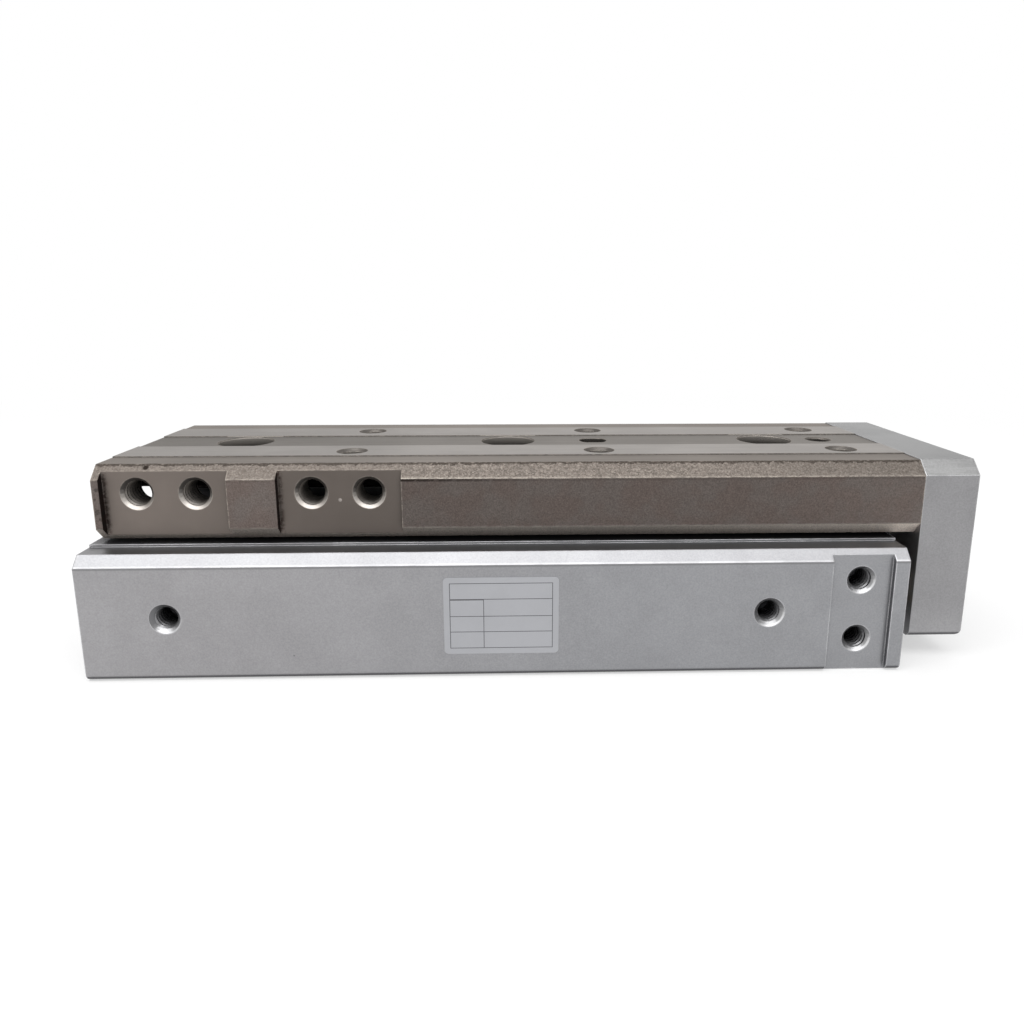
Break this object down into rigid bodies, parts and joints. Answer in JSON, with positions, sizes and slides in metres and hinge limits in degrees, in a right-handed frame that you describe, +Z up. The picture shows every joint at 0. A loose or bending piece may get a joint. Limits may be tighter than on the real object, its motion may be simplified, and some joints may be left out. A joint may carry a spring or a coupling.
{
  "type": "pneumatic slide table",
  "caption": "Low-profile air-driven slide: a steel table on a ball guide runs over an aluminium cylinder body, pushed by piston rods through its end plate.",
  "frame": {"origin": "centre of the body's bottom mounting face", "axes": "+X is the way the table extends, towards the end plate; +Z is up, from the mounting face to the table; the ports face -Y"},
  "size_m": [0.1688, 0.0621, 0.04],
  "materials": {
    "anodised_body": "matt silver anodised, fine blasted grain",
    "anodised_plate": "matt silver anodised",
    "table_steel": "heat-treated, grainy as-formed sides and ground lands",
    "guide_steel": "ground",
    "ball_steel": "polished",
    "rod_steel": "hard chrome",
    "screw_steel": "plated socket screws",
    "spring_steel": "phosphated",
    "cover_brass": "turned",
    "piston_metal": "chromated",
    "magnet_black": "bonded magnet",
    "seal_rubber": "moulded nitrile",
    "cushion_urethane": "cast urethane",
    "cap_resin": "moulded",
    "guide_resin": "moulded",
    "scraper_steel": "rubber-faced steel",
    "label_foil": "satin silver foil"
  },
  "bodies": {
    "body_unit": {"body": "anodised_body", "label": "label_foil", "rear_cap_near": "cap_resin", "rear_cap_far": "cap_resin", "rear_cap_seals": "seal_rubber", "rear_circlips": "spring_steel", "rod_cover_near": "cover_brass", "rod_cover_far": "cover_brass", "rod_cover_seals": "seal_rubber", "rod_seals": "seal_rubber", "front_circlips": "spring_steel", "guide_block": "guide_steel", "guide_block_screws": "screw_steel", "guide_balls": "ball_steel", "end_cover_rear": "cap_resin", "end_cover_front": "cap_resin", "return_guides_rear": "guide_resin", "return_guides_front": "guide_resin", "scraper_rear": "scraper_steel", "scraper_front": "scraper_steel", "cover_screws": "screw_steel"},
    "table_unit": {"table": "table_steel", "end_plate": "anodised_plate", "plate_screws": "screw_steel", "end_bumper": "cushion_urethane", "rod_near": "rod_steel", "rod_far": "rod_steel", "piston_near": "piston_metal", "piston_far": "piston_metal", "piston_screws": "screw_steel", "piston_seal_near": "seal_rubber", "piston_seal_far": "seal_rubber", "magnet_near": "magnet_black", "magnet_far": "magnet_black", "cushion_near": "cushion_urethane", "cushion_far": "cushion_urethane", "floating_bushing_near": "rod_steel", "floating_bushing_far": "rod_steel", "rod_washers": "screw_steel", "rod_screws": "screw_steel"}
  },
  "joints": [
    {"name": "table_slide", "type": "slide", "parent": "body_unit", "child": "table_unit", "axis": [1, 0, 0], "range_m": [0, 0.075]}
  ]
}
